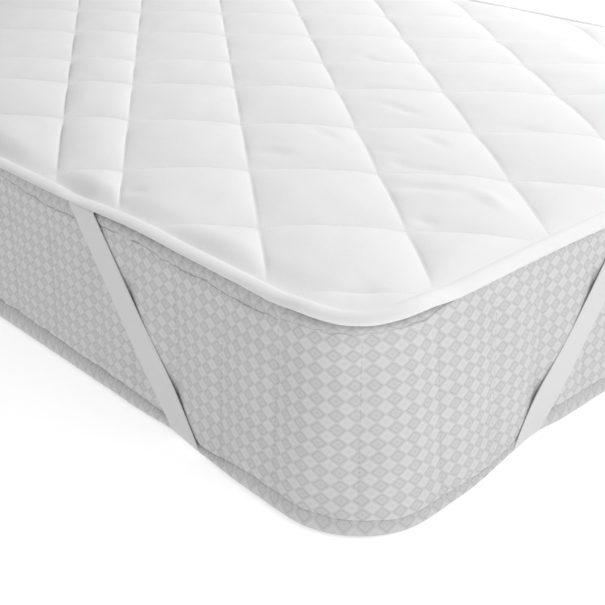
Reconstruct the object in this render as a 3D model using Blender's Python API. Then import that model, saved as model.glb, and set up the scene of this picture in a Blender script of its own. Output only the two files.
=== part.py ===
"""Quilted mattress protector with elastic corner straps, fitted on a plain mattress.

Frame: metres, +Z up, origin on the floor under the middle of the mattress.
X runs across the width, Y along the length. The "near" corner is at -X, -Y.
"""

import math

import bmesh
import bpy
from mathutils import Vector

# ---------------------------------------------------------------- driving dimensions
MATTRESS_WIDTH = 0.900
MATTRESS_LENGTH = 2.000
MATTRESS_TOP = 0.182
CORNER_RADIUS = 0.065
BOTTOM_SPREAD = 0.005
GAP = 0.0003

# Edge rolls: round, sewn along the top and bottom edges of the border.
TOP_ROLL_RADIUS = 0.0055
TOP_ROLL_HEIGHT = 0.1750
BOTTOM_ROLL_RADIUS = 0.0078
BOTTOM_ROLL_HEIGHT = 0.0093
ROLL_SIDES = 12

# Elastic straps.
STRAP_WIDTH = 0.030
STRAP_THICKNESS = 0.0012
STRAP_TIP_INSET = 0.0145
STRAP_ARC_STEPS = 3
STRAP_SIDE_STEPS = 4
STRAP_GROOVE_MARGIN = 0.0005
STRAP_GROOVE_RUN_OUT = 0.030

# Quilted pad.
PAD_BASE = MATTRESS_TOP + GAP
PAD_VALLEY = 0.0058
PAD_CROWN = 0.0146
PAD_EDGE_INSET = 0.0010
PAD_EDGE_TOP = 0.1868
PAD_RIM_INSET = 0.0095
PAD_RIM_TOP = 0.1875
PAD_REBATE_INSET = 0.0105
PAD_REBATE_HEIGHT = 0.1838
PAD_RISE_LENGTH = 0.030
LIFT_FADE_LENGTH = 0.060

# Quilting lines, in two families measured from the near corner of the outline. A line's
# place is its distance across the family, and its slope is how fast that place drifts along
# it. The lines that are not evenly spaced are listed, and the rest follow at the spacing.
QUILT_FAMILIES = (
    {"angle": math.radians(52.4), "spacing": 0.1200, "span": (-1.30, 0.80),
     "uneven": (
         # place   slope
         (-0.4900, -0.015),
         (-0.3600, -0.030),
         (-0.2187, -0.048),
         (-0.1730, -0.003),
         (-0.0557, -0.003),
         (0.0665, -0.015),
         (0.1802, -0.005),
         (0.3097, -0.014),
     )},
    {"angle": math.radians(-47.8), "spacing": 0.1265, "span": (-0.10, 2.10),
     "uneven": (
         # place   slope
         (0.0617, 0.030),
         (0.1762, -0.008),
         (0.3040, -0.008),
         (0.4398, -0.032),
         (0.5787, -0.006),
         (0.6949, 0.043),
     )},
)
QUILT_SPLITS = 3
CUT_SNAP = 0.0006

ARC_HALF = CORNER_RADIUS * math.pi / 4
ARC_STEPS = 6

# Each corner, anticlockwise: name, side of X, side of Y, bulge of the bottom edge on the
# side before it and on the side after it, where the straps draw the edge in.
CORNERS = (
    # name     x   y  before  after
    ("near",  -1, -1, 0.0078, 0.0120),
    ("right",  1, -1, 0.0100, 0.0078),
    ("far",    1,  1, 0.0070, 0.0120),
    ("left",  -1,  1, 0.0090, 0.0066),
)

# How the bulge fades along the outline, away from the middle of a corner, to where a strap
# pinches the edge in.
BULGE_FADE = (
    # reach   share
    (0.000, 1.00),
    (0.080, 0.97),
    (0.115, 0.80),
    (0.150, 0.38),
    (0.180, 0.00),
    (0.205, -0.30),
    (0.250, 0.00),
)

# Where the bound edge of the pad rides up between the straps, by corner.
EDGE_LIFTS = (
    # corner    reach   half_length  lift
    ("near",  -0.272,  0.080,   0.0042),
    ("near",   0.050,  0.045,   0.0026),
    ("right",  0.250,  0.080,   0.0030),
    ("far",   -0.260,  0.090,   0.0025),
    ("left",   0.280,  0.080,   0.0030),
)

# Straps: the corner, then how far along the outline from the middle of that corner each
# leg starts under the pad (tip) and turns under the mattress (foot), before and after it.
STRAPS = (
    # corner   tip_before  foot_before  tip_after  foot_after
    ("near",   0.3385,     0.177,       0.3495,    0.188),
    ("right",  0.341,      0.188,       0.339,     0.184),
    ("far",    0.344,      0.186,       0.340,     0.189),
    ("left",   0.337,      0.190,       0.343,     0.183),
)

# Places along half a side, from the middle of a corner, where the sections are set.
FLANK_REACHES = (0.080, 0.115, 0.150, 0.180, 0.205, 0.250, 0.300, 0.350)
LONG_SIDE_REACHES = (0.650,)

# The core's section, from the bottom panel up the border to the top panel.
BODY_SECTION = (
    # outward  height
    (-0.0200, 0.0000),
    (-0.0162, 0.0020),
    (-0.0162, 0.0175),
    (-0.0065, 0.0175),
    (-0.0025, 0.0215),
    (-0.0010, 0.0500),
    (-0.0010, 0.1400),
    (-0.0025, 0.1645),
    (-0.0055, 0.1691),
    (-0.0114, 0.1691),
    (-0.0114, 0.1800),
    (-0.0160, 0.1803),
    (-0.0178, MATTRESS_TOP),
)

# The binding's section: a tape folded round the pad's edge, open towards the pad.
BINDING_SECTION = (
    # outward  height
    (-0.0090, 0.1823),
    (0.0008, 0.1822),
    (0.0034, 0.1831),
    (0.0044, 0.1856),
    (0.0034, 0.1882),
    (0.0008, 0.1896),
    (-0.0040, 0.1901),
    (-0.0090, 0.1891),
    (-0.0090, 0.1880),
    (-0.0040, 0.1889),
    (0.0003, 0.1884),
    (0.0024, 0.1857),
    (0.0004, 0.1834),
    (-0.0090, 0.1835),
)

# Finishes: colour, roughness.
FINISHES = {
    "pad_cloth": ((0.90, 0.90, 0.90, 1.0), 0.90),
    "binding_tape": ((0.92, 0.92, 0.92, 1.0), 0.80),
    "strap_elastic": ((0.85, 0.85, 0.85, 1.0), 0.70),
    "border_cloth": ((0.66, 0.66, 0.67, 1.0), 0.75),
    "roll_cloth": ((0.60, 0.60, 0.61, 1.0), 0.80),
}


# ---------------------------------------------------------------- small helpers
def interpolate(rows, place):
    """Straight-line value at a place in a table of (place, value) rows."""
    for (low, low_value), (high, high_value) in zip(rows, rows[1:]):
        if place <= high:
            return low_value + (high_value - low_value) * (place - low) / (high - low)
    return rows[-1][1]


def smooth(share):
    """Ease a share from 0 to 1."""
    share = min(max(share, 0.0), 1.0)
    return share * share * (3.0 - 2.0 * share)


def corner_row(name):
    return next(row for row in CORNERS if row[0] == name)


def half_side(corner, before):
    """Length of outline from the middle of a corner to the middle of a side."""
    _, x_side, y_side, _, _ = corner
    runs_along_y = (x_side == y_side) == before
    side = MATTRESS_LENGTH if runs_along_y else MATTRESS_WIDTH
    return side / 2 - CORNER_RADIUS + ARC_HALF


def bulge(corner, reach):
    """How far the bottom edge stands out, at a reach from the middle of a corner."""
    _, _, _, before, after = corner
    turn = min(max(reach / ARC_HALF, -1.0), 1.0)
    size = (before + after) / 2 + (after - before) / 2 * turn
    return size * interpolate(BULGE_FADE, abs(reach))


def lean(height):
    """Share of the bottom edge's bulge that is left at a height."""
    return 1.0 - height / MATTRESS_TOP


def edge_lift(corner, reach):
    """How far the bound edge rides up at a reach from the middle of a corner."""
    lift = 0.0
    for name, centre, half_length, size in EDGE_LIFTS:
        if name == corner[0]:
            lift += size * smooth(1.0 - abs(reach - centre) / half_length)
    return lift


def outline_point(corner, reach, outward):
    """Plan point at a reach along the rounded outline, moved outward from it."""
    _, x_side, y_side, _, _ = corner
    centre = Vector((x_side * (MATTRESS_WIDTH / 2 - CORNER_RADIUS),
                     y_side * (MATTRESS_LENGTH / 2 - CORNER_RADIUS)))
    on_arc = min(max(reach, -ARC_HALF), ARC_HALF)
    angle = math.atan2(y_side, x_side) + on_arc / CORNER_RADIUS
    normal = Vector((math.cos(angle), math.sin(angle)))
    along = Vector((-normal.y, normal.x))
    return centre + normal * (CORNER_RADIUS + outward) + along * (reach - on_arc)


def stations():
    """All (corner, reach) places round the outline, anticlockwise from mid side."""
    places = []
    for corner in CORNERS:
        arc = [ARC_HALF * (2 * step / ARC_STEPS - 1) for step in range(ARC_STEPS + 1)]
        for before in (True, False):
            half = half_side(corner, before)
            flank = list(FLANK_REACHES)
            if half > MATTRESS_WIDTH / 2:
                flank += LONG_SIDE_REACHES
            if before:
                places += [(corner, -half)]
                places += [(corner, -reach) for reach in reversed(flank)]
                places += [(corner, reach) for reach in arc]
            else:
                places += [(corner, reach) for reach in flank]
    return places


def make_object(name, mesh_data, finish):
    """Wrap a bmesh as a named object with its material and outward faces."""
    bmesh.ops.recalc_face_normals(mesh_data, faces=mesh_data.faces)
    mesh = bpy.data.meshes.new(name)
    mesh_data.to_mesh(mesh)
    mesh_data.free()
    mesh.materials.append(bpy.data.materials[finish])
    part = bpy.data.objects.new(name, mesh)
    bpy.context.collection.objects.link(part)
    return part


def join_rings(mesh_data, rings, closed):
    """Bridge each ring of vertices to the next with quads."""
    pairs = list(zip(rings, rings[1:]))
    if closed:
        pairs.append((rings[-1], rings[0]))
    for ring, following in pairs:
        count = len(ring)
        for index in range(count):
            after = (index + 1) % count
            mesh_data.faces.new((ring[index], ring[after], following[after], following[index]))


def add_ring(mesh_data, points):
    return [mesh_data.verts.new(point) for point in points]


# ---------------------------------------------------------------- mattress
def border_point(corner, reach, outward, height):
    """Point on a section of the mattress, leaning out with the bottom edge's bulge."""
    spread = (BOTTOM_SPREAD + bulge(corner, reach)) * lean(height)
    plan = outline_point(corner, reach, outward + spread)
    return Vector((plan.x, plan.y, height))


def make_body():
    mesh_data = bmesh.new()
    rings = []
    for outward, height in BODY_SECTION:
        rings.append(add_ring(mesh_data, [border_point(corner, reach, outward, height)
                                          for corner, reach in stations()]))
    join_rings(mesh_data, rings, closed=False)
    mesh_data.faces.new(rings[0])
    mesh_data.faces.new(rings[-1])
    return make_object("mattress_body", mesh_data, "border_cloth")


def make_roll(name, radius, height):
    """A round roll along the whole edge, its outer side on the outline."""
    mesh_data = bmesh.new()
    rings = []
    for corner, reach in stations():
        ring = []
        for side in range(ROLL_SIDES):
            angle = 2 * math.pi * side / ROLL_SIDES
            outward = radius * (math.cos(angle) - 1)
            level = height + radius * math.sin(angle)
            ring.append(border_point(corner, reach, outward, level))
        rings.append(add_ring(mesh_data, ring))
    join_rings(mesh_data, rings, closed=True)
    return make_object(name, mesh_data, "roll_cloth")


# ---------------------------------------------------------------- straps
def strap_section():
    """Half a strap in section, tip to foot: rows of (outward, height) inside and outside."""
    inside, outside = [], []

    def add(centre_out, centre_up, radius, angle):
        for rows, distance in ((inside, radius + GAP), (outside, radius + GAP + STRAP_THICKNESS)):
            rows.append((centre_out + distance * math.cos(angle),
                         centre_up + distance * math.sin(angle)))

    add(-STRAP_TIP_INSET, TOP_ROLL_HEIGHT, TOP_ROLL_RADIUS, math.pi / 2)
    for step in range(STRAP_ARC_STEPS + 1):
        angle = math.pi / 2 * (1 - step / STRAP_ARC_STEPS)
        add(-TOP_ROLL_RADIUS, TOP_ROLL_HEIGHT, TOP_ROLL_RADIUS, angle)
    for step in range(1, STRAP_SIDE_STEPS):
        share = step / STRAP_SIDE_STEPS
        level = TOP_ROLL_HEIGHT + (BOTTOM_ROLL_HEIGHT - TOP_ROLL_HEIGHT) * share
        add(-BOTTOM_ROLL_RADIUS, level, BOTTOM_ROLL_RADIUS, 0.0)
    for step in range(STRAP_ARC_STEPS + 1):
        angle = -math.pi / 2 * step / STRAP_ARC_STEPS
        add(-BOTTOM_ROLL_RADIUS, BOTTOM_ROLL_HEIGHT, BOTTOM_ROLL_RADIUS, angle)
    return inside, outside


def strap_leg(corner, tip, foot, direction):
    """Rings of one leg, tip to foot. Direction is -1 before the corner and 1 after it."""
    inside, outside = strap_section()
    lengths = [0.0]
    for (out_a, up_a), (out_b, up_b) in zip(inside, inside[1:]):
        lengths.append(lengths[-1] + math.hypot(out_b - out_a, up_b - up_a))
    slant = (tip - foot) / lengths[-1]
    half_at_tip = STRAP_WIDTH / 2 * math.hypot(1.0, slant)
    half_at_foot = STRAP_WIDTH / 2 * math.sqrt(2.0)
    rings = []
    for row_in, row_out, length in zip(inside, outside, lengths):
        share = length / lengths[-1]
        middle = tip + (foot - tip) * share
        half = half_at_tip + (half_at_foot - half_at_tip) * smooth(share)
        reaches = [direction * (middle + half * side) for side in (-1, 0, 1)]
        ring = [border_point(corner, reach, *row_in) for reach in reaches]
        ring += [border_point(corner, reach, *row_out) for reach in reversed(reaches)]
        rings.append(ring)
    return rings


def make_strap(corner_name, tip_before, foot_before, tip_after, foot_after):
    corner = corner_row(corner_name)
    mesh_data = bmesh.new()
    legs = strap_leg(corner, tip_before, foot_before, -1)
    legs += reversed(strap_leg(corner, tip_after, foot_after, 1))
    rings = [add_ring(mesh_data, ring) for ring in legs]
    join_rings(mesh_data, rings, closed=False)
    mesh_data.faces.new(rings[0])
    mesh_data.faces.new(rings[-1])
    return make_object("strap_" + corner_name, mesh_data, "strap_elastic")


def make_groove(corner_name, foot_before, foot_after):
    """Cutter for the shallow groove that a strap presses into the bottom panel."""
    corner = corner_row(corner_name)
    half = STRAP_WIDTH / 2 * math.sqrt(2.0)
    feet = {}
    for side in (1, -1):
        reaches = (-(foot_before + side * half), foot_after + side * half)
        feet[side] = [border_point(corner, reach, -BOTTOM_ROLL_RADIUS, 0.0).xy
                      for reach in reaches]
    outline = []
    for side in (1, -1):
        start, end = feet[side]
        along = (end - start).normalized()
        away = Vector((-along.y, along.x))
        if away.dot(start - feet[-side][0]) < 0:
            away = -away
        start = start + away * STRAP_GROOVE_MARGIN - along * STRAP_GROOVE_RUN_OUT
        end = end + away * STRAP_GROOVE_MARGIN + along * STRAP_GROOVE_RUN_OUT
        outline += [start, end] if side > 0 else [end, start]
    mesh_data = bmesh.new()
    depth = STRAP_THICKNESS + GAP
    rings = [add_ring(mesh_data, [(p.x, p.y, level) for p in outline]) for level in (-depth, depth)]
    join_rings(mesh_data, rings, closed=False)
    mesh_data.faces.new(rings[0])
    mesh_data.faces.new(rings[1])
    cutter = make_object("groove_" + corner_name, mesh_data, "strap_elastic")
    cutter.hide_render = True
    cutter.display_type = "WIRE"
    return cutter


def cut(part, cutter):
    boolean = part.modifiers.new(cutter.name, "BOOLEAN")
    boolean.operation = "DIFFERENCE"
    boolean.solver = "EXACT"
    boolean.object = cutter


# ---------------------------------------------------------------- pad and binding
def quilt_lines(family):
    """All lines of a family as (place, slope), the listed ones and the even ones."""
    lines = list(family["uneven"])
    lowest, highest = family["span"]
    while lines[0][0] > lowest:
        lines.insert(0, (lines[0][0] - family["spacing"], 0.0))
    while lines[-1][0] < highest:
        lines.append((lines[-1][0] + family["spacing"], 0.0))
    return lines


def quilt_frame(family):
    """Unit vectors along and across a family's lines, in plan."""
    along = Vector((math.cos(family["angle"]), math.sin(family["angle"])))
    side = 1 if family["angle"] > 0 else -1
    return along, Vector((along.y, -along.x)) * side


def near_corner():
    return Vector((-MATTRESS_WIDTH / 2, -MATTRESS_LENGTH / 2))


def puff(family, point):
    """Share of full thickness at a plan point, between two lines of one family."""
    along, across = quilt_frame(family)
    offset = point - near_corner()
    places = [place + slope * offset.dot(along) for place, slope in quilt_lines(family)]
    here = offset.dot(across)
    low, high = next(pair for pair in zip(places, places[1:]) if here <= pair[1])
    share = (here - low) / (high - low)
    return math.sqrt(max(4 * share * (1 - share), 0.0))


def nearest_place(point):
    """The (corner, reach, inset) of a plan point inside the outline."""
    corner = next(row for row in CORNERS
                  if row[1] * point.x >= 0 and row[2] * point.y >= 0)
    _, x_side, y_side, _, _ = corner
    centre = Vector((x_side * (MATTRESS_WIDTH / 2 - CORNER_RADIUS),
                     y_side * (MATTRESS_LENGTH / 2 - CORNER_RADIUS)))
    away = point - centre
    past_x, past_y = away.x * x_side, away.y * y_side
    turn = x_side * y_side
    if past_x > 0 and past_y > 0:
        angle = math.atan2(past_y, past_x) - math.pi / 4
        return corner, turn * angle * CORNER_RADIUS, CORNER_RADIUS - away.length
    if past_x >= past_y:
        return corner, turn * (past_y - ARC_HALF), CORNER_RADIUS - past_x
    return corner, turn * (ARC_HALF - past_x), CORNER_RADIUS - past_y


def pad_height(point):
    """Top of the pad at a plan point: crowned diamonds, low at channels and at the rim."""
    corner, reach, inset = nearest_place(point)
    crown = math.prod(puff(family, point) for family in QUILT_FAMILIES)
    field = PAD_BASE + PAD_VALLEY + (PAD_CROWN - PAD_VALLEY) * crown
    rise = smooth((inset - PAD_RIM_INSET) / PAD_RISE_LENGTH)
    fade = 1.0 - smooth((inset - PAD_RIM_INSET) / LIFT_FADE_LENGTH)
    return PAD_RIM_TOP + (field - PAD_RIM_TOP) * rise + edge_lift(corner, reach) * fade


def quilt_cuts(field):
    """Cut the pad's flat field along every quilting line and at even steps between."""
    for family in QUILT_FAMILIES:
        along, across = quilt_frame(family)
        lines = quilt_lines(family)
        for (place, slope), (next_place, next_slope) in zip(lines, lines[1:]):
            for split in range(QUILT_SPLITS):
                share = split / QUILT_SPLITS
                point = near_corner() + across * (place + (next_place - place) * share)
                normal = across - along * (slope + (next_slope - slope) * share)
                geometry = field.verts[:] + field.edges[:] + field.faces[:]
                bmesh.ops.bisect_plane(field, geom=geometry, dist=CUT_SNAP,
                                       plane_co=point.to_3d(), plane_no=normal.to_3d())


def make_pad():
    mesh_data = bmesh.new()
    rim = add_ring(mesh_data, [outline_point(corner, reach, -PAD_RIM_INSET).to_3d()
                               for corner, reach in stations()])
    mesh_data.faces.new(rim)
    quilt_cuts(mesh_data)
    for vert in mesh_data.verts:
        vert.co.z = pad_height(vert.co.xy)

    lower = []
    for inset, height, lifted in ((PAD_EDGE_INSET, PAD_EDGE_TOP, True),
                                  (PAD_EDGE_INSET, PAD_REBATE_HEIGHT, True),
                                  (PAD_REBATE_INSET, PAD_REBATE_HEIGHT, True),
                                  (PAD_REBATE_INSET, PAD_BASE, False)):
        ring = []
        for corner, reach in stations():
            plan = outline_point(corner, reach, -inset)
            lift = edge_lift(corner, reach) if lifted else 0.0
            ring.append((plan.x, plan.y, height + lift))
        lower.append(add_ring(mesh_data, ring))
    join_rim(mesh_data, rim, lower[0])
    join_rings(mesh_data, lower, closed=False)
    mesh_data.faces.new(lower[-1])
    bmesh.ops.triangulate(mesh_data, faces=mesh_data.faces)
    return make_object("quilted_pad", mesh_data, "pad_cloth")


def join_rim(mesh_data, rim, edge):
    """Join the cut rim of the field to the plain edge ring, straight between stations."""
    count = len(rim)
    for index in range(count):
        after = (index + 1) % count
        run = rim_run(rim[index], rim[after])
        start, span = run[0].co.copy(), run[-1].co - run[0].co
        for vert in run[1:-1]:
            share = (vert.co.xy - start.xy).length / span.xy.length
            vert.co.z = start.z + span.z * share
        mesh_data.faces.new([edge[after], edge[index]] + run)


def rim_run(start, end):
    """Boundary vertices from one rim station to the next, with the cuts between them."""
    goal = (end.co.xy - start.co.xy).normalized()
    run, vert = [start], start
    while vert is not end:
        ahead = [edge.other_vert(vert) for edge in vert.link_edges if len(edge.link_faces) == 1]
        vert = max(ahead, key=lambda other: (other.co.xy - vert.co.xy).normalized().dot(goal))
        run.append(vert)
    return run


def make_binding():
    mesh_data = bmesh.new()
    rings = []
    for corner, reach in stations():
        lift = edge_lift(corner, reach)
        ring = []
        for outward, height in BINDING_SECTION:
            plan = outline_point(corner, reach, outward)
            ring.append((plan.x, plan.y, height + lift))
        rings.append(add_ring(mesh_data, ring))
    join_rings(mesh_data, rings, closed=True)
    return make_object("edge_binding", mesh_data, "binding_tape")


# ---------------------------------------------------------------- assembly
def make_finishes():
    for name, (colour, roughness) in FINISHES.items():
        material = bpy.data.materials.new(name)
        material.use_nodes = True
        shader = material.node_tree.nodes["Principled BSDF"]
        shader.inputs["Base Color"].default_value = colour
        shader.inputs["Roughness"].default_value = roughness


def main():
    for old in list(bpy.data.objects):
        bpy.data.objects.remove(old, do_unlink=True)
    make_finishes()
    body = make_body()
    make_roll("mattress_top_roll", TOP_ROLL_RADIUS, TOP_ROLL_HEIGHT)
    make_roll("mattress_bottom_roll", BOTTOM_ROLL_RADIUS, BOTTOM_ROLL_HEIGHT)
    for strap in STRAPS:
        corner_name, _, foot_before, _, foot_after = strap
        make_strap(*strap)
        cut(body, make_groove(corner_name, foot_before, foot_after))
    make_pad()
    make_binding()


main()
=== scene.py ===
"""Looks of a quilted mattress protector on its mattress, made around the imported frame.

Metres, +Z up, origin on the floor under the middle of the mattress. X runs across the
width, Y along the length, and the "near" corner is at -X, -Y.
"""

import math

import bmesh
import bpy
import numpy as np
from mathutils import Euler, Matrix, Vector, noise


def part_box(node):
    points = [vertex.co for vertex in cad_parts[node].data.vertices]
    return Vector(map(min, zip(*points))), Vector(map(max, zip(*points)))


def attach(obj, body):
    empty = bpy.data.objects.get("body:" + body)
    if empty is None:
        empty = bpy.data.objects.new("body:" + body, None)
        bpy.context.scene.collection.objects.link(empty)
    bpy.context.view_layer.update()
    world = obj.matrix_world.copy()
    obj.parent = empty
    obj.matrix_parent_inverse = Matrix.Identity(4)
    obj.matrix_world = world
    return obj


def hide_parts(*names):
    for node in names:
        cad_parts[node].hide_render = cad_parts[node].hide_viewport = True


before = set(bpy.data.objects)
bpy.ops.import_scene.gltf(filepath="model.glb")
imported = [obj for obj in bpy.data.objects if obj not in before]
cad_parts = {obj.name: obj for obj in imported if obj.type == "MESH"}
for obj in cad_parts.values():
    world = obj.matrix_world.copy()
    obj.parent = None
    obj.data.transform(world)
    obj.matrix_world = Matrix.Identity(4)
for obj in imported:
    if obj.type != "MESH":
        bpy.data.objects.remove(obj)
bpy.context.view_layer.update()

# ---------------------------------------------------------------- sizes from the frame
PAD_LOW, PAD_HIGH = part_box("quilted_pad")
TOP_ROLL_LOW, TOP_ROLL_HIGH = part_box("mattress_top_roll")
BOTTOM_ROLL_LOW, BOTTOM_ROLL_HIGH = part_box("mattress_bottom_roll")

PAD_EDGE_INSET = 0.0010
HALF_WIDTH = PAD_HIGH.x + PAD_EDGE_INSET
HALF_LENGTH = PAD_HIGH.y + PAD_EDGE_INSET
PAD_BASE = PAD_LOW.z
GAP = 0.0003
MATTRESS_TOP = PAD_BASE - GAP
CORNER_RADIUS = 0.065
BOTTOM_SPREAD = 0.005
ARC_HALF = CORNER_RADIUS * math.pi / 4

TOP_ROLL_RADIUS = (TOP_ROLL_HIGH.z - TOP_ROLL_LOW.z) / 2
TOP_ROLL_HEIGHT = (TOP_ROLL_HIGH.z + TOP_ROLL_LOW.z) / 2
BOTTOM_ROLL_RADIUS = (BOTTOM_ROLL_HIGH.z - BOTTOM_ROLL_LOW.z) / 2
BOTTOM_ROLL_HEIGHT = (BOTTOM_ROLL_HIGH.z + BOTTOM_ROLL_LOW.z) / 2

# Each corner, anticlockwise: its sides of X and Y, and the bulge of the bottom edge on the
# side before it and on the side after it.
CORNERS = (
    # name     x   y  before  after
    ("near",  -1, -1, 0.0078, 0.0120),
    ("right",  1, -1, 0.0100, 0.0078),
    ("far",    1,  1, 0.0070, 0.0120),
    ("left",  -1,  1, 0.0090, 0.0066),
)
# How the bulge fades along the outline, away from the middle of a corner.
BULGE_FADE = (
    # reach   share
    (0.000, 1.00),
    (0.080, 0.97),
    (0.115, 0.80),
    (0.150, 0.38),
    (0.180, 0.00),
    (0.205, -0.30),
    (0.250, 0.00),
    (0.300, 0.00),
)
# Where the bound edge of the pad rides up.
EDGE_LIFTS = (
    # corner    reach   half_length  lift
    ("near",  -0.240,  0.125,   0.0040),
    ("near",  -0.130,  0.070,   0.0015),
    ("near",  -0.042,  0.034,   0.0026),
    ("near",   0.048,  0.045,   0.0032),
    ("near",   0.200,  0.110,   0.0013),
    ("right",  0.250,  0.080,   0.0030),
    ("far",   -0.260,  0.090,   0.0025),
    ("left",   0.280,  0.080,   0.0030),
)
# How far along the outline from the middle of its corner each leg of a strap starts under
# the pad (tip) and turns under the mattress (foot), before and after the corner.
STRAPS = (
    # corner   tip_before  foot_before  tip_after  foot_after
    ("near",   0.3385,     0.177,       0.3495,    0.188),
    ("right",  0.341,      0.188,       0.339,     0.184),
    ("far",    0.344,      0.186,       0.340,     0.189),
    ("left",   0.337,      0.190,       0.343,     0.183),
)
# Quilting lines, measured from the near corner. A line's place is its distance across the
# family, its slope is how fast that drifts, and its bend curves it.
QUILT_FAMILIES = (
    {"angle": math.radians(52.4), "spacing": 0.1200, "span": (-1.30, 0.80),
     "uneven": (
         # place   slope    bend
         (-0.4900, -0.015, 0.00),
         (-0.3600, -0.030, 0.00),
         (-0.2187, -0.048, 0.00),
         (-0.1730, -0.003, 0.00),
         (-0.0557, -0.003, 0.00),
         (0.0665, -0.015, 0.00),
         (0.1802, -0.005, 0.00),
         (0.3097, -0.014, 0.00),
     )},
    {"angle": math.radians(-47.8), "spacing": 0.1265, "span": (-0.10, 2.10),
     "uneven": (
         # place   slope    bend
         (0.0617, 0.030, 0.00),
         (0.1795, -0.018, -0.43),
         (0.3101, -0.028, -0.35),
         (0.4398, -0.032, 0.00),
         (0.5787, -0.006, 0.00),
         (0.6949, 0.043, 0.00),
     )},
)
BEND_REACH = 0.40
# Creases and soft ridges of the pad's cloth, as lines in plan. A depth below 0 is a ridge.
WRINKLES = (
    # from x   y       to x    y       depth    half_width
    (-0.074, -0.643, -0.067, -0.741, 0.0025, 0.0066),
    (-0.120, -0.755, -0.135, -0.821, 0.0025, 0.0066),
    (-0.193, -0.787, -0.186, -0.811, 0.0016, 0.0055),
    (-0.246, -0.826, -0.203, -0.908, 0.0034, 0.0066),
    (-0.282, -0.886, -0.271, -0.923, 0.0022, 0.0060),
    (-0.274, -0.670, -0.243, -0.733, 0.0022, 0.0077),
    (-0.181, -0.655, -0.194, -0.737, 0.0016, 0.0055),
    (-0.196, -0.876, -0.215, -0.968, -0.0022, 0.0088),
    (-0.442, -0.656, -0.426, -0.684, 0.0026, 0.0070),
    (-0.423, -0.674, -0.404, -0.704, 0.0026, 0.0070),
    (0.059, -0.484, 0.065, -0.586, 0.0020, 0.0066),
    (0.176, -0.106, 0.200, -0.194, 0.0022, 0.0066),
    (-0.309, 0.249, -0.253, 0.191, 0.0022, 0.0066),
    (-0.071, 0.567, 0.001, 0.523, 0.0020, 0.0060),
    (0.285, 0.713, 0.315, 0.626, 0.0022, 0.0066),
    (0.337, -0.829, 0.293, -0.901, 0.0022, 0.0066),
    (-0.349, 0.851, -0.291, 0.909, 0.0020, 0.0066),
    (-0.184, -0.746, -0.166, -0.800, 0.0015, 0.0046),
    (-0.204, -0.794, -0.164, -0.854, 0.0017, 0.0046),
    (-0.207, -0.890, -0.211, -0.947, -0.0018, 0.0050),
    (-0.197, -0.671, -0.188, -0.723, 0.0013, 0.0046),
    (-0.163, -0.862, -0.147, -0.906, 0.0013, 0.0046),
    (-0.030, -0.793, -0.007, -0.851, 0.0014, 0.0050),
)


# ---------------------------------------------------------------- numbers along a curve
def curve(rows, places):
    """Smooth values at places along a table of (place, value) rows."""
    knots, values = np.array(rows, float).T
    slopes = np.gradient(values, knots)
    index = np.clip(np.searchsorted(knots, places) - 1, 0, len(knots) - 2)
    length = knots[index + 1] - knots[index]
    share = np.clip((places - knots[index]) / length, 0.0, 1.0)
    square, cube = share ** 2, share ** 3
    return (values[index] * (2 * cube - 3 * square + 1)
            + values[index + 1] * (3 * square - 2 * cube)
            + slopes[index] * length * (cube - 2 * square + share)
            + slopes[index + 1] * length * (cube - square))


def smooth(share):
    """Ease a share from 0 to 1."""
    share = np.clip(share, 0.0, 1.0)
    return share * share * (3.0 - 2.0 * share)


def path_lengths(points):
    """Length along a path from its first point to each of its points."""
    steps = np.linalg.norm(np.diff(points, axis=0), axis=1)
    return np.concatenate([[0.0], np.cumsum(steps)])


# Smooth unevenness, each with its rows of pitch, size and seed. A size has the unit of what
# it changes, and some are shares.
UNEVEN = {
    "pad": ((0.034, 0.00055, 3), (0.015, 0.00014, 4)),
    "pad pucker": ((0.0085, 0.00042, 40),),
    "binding tug": ((0.006, 0.5, 5),),
    "binding sway": ((0.070, 0.0004, 6),),
    "binding swell": ((0.018, 0.00022, 7),),
    "top seam": ((0.11, 0.0022, 8),),
    "bottom seam": ((0.13, 0.0016, 9),),
    "border top": ((0.0085, 0.00050, 10), (0.0045, 0.00025, 11)),
    "border foot": ((0.011, 0.00045, 12),),
    "border": ((0.055, 0.00040, 13), (0.021, 0.00014, 14)),
    "lozenge width": ((0.09, 0.03, 15),),
    "gathers": ((0.013, 0.0008, 16), (0.0075, 0.0008, 17)),
    "seam depth": ((0.015, 0.45, 18),),
    "roll": ((0.0095, 0.00055, 0), (0.0050, 0.00025, 2), (0.030, 0.00040, 1)),
}
NOISE_SHIFT, NOISE_GAIN = 17.3, 1.6


def uneven(name, points, seed=0):
    """Smooth noise at each point, the sum of the rows that go by a name."""
    total = 0.0
    for pitch, size, number in UNEVEN[name]:
        shift = NOISE_SHIFT * (seed + number)
        values = [noise.noise(Vector((x / pitch + shift, y / pitch - shift, z / pitch)))
                  for x, y, z in points]
        total = total + np.array(values) * NOISE_GAIN * size
    return total


def uneven_along(name, places, seed=0):
    """Smooth noise along the outline, the same where the outline closes."""
    turns = 2 * math.pi * np.asarray(places) / PERIMETER
    ring = PERIMETER / (2 * math.pi)
    return uneven(name, np.column_stack([ring * np.cos(turns), ring * np.sin(turns),
                                         np.zeros(len(turns))]), seed)


# ---------------------------------------------------------------- the outline
def half_side(corner, before):
    """Length of outline from the middle of a corner to the middle of a side."""
    _, x_side, y_side, _, _ = corner
    half = HALF_LENGTH if (x_side == y_side) == before else HALF_WIDTH
    return half - CORNER_RADIUS + ARC_HALF


CORNER_MIDDLES = []
walked = 0.0
for row in CORNERS:
    CORNER_MIDDLES.append(walked + half_side(row, True))
    walked = CORNER_MIDDLES[-1] + half_side(row, False)
PERIMETER = walked


def corner_number(name):
    return [row[0] for row in CORNERS].index(name)


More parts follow.
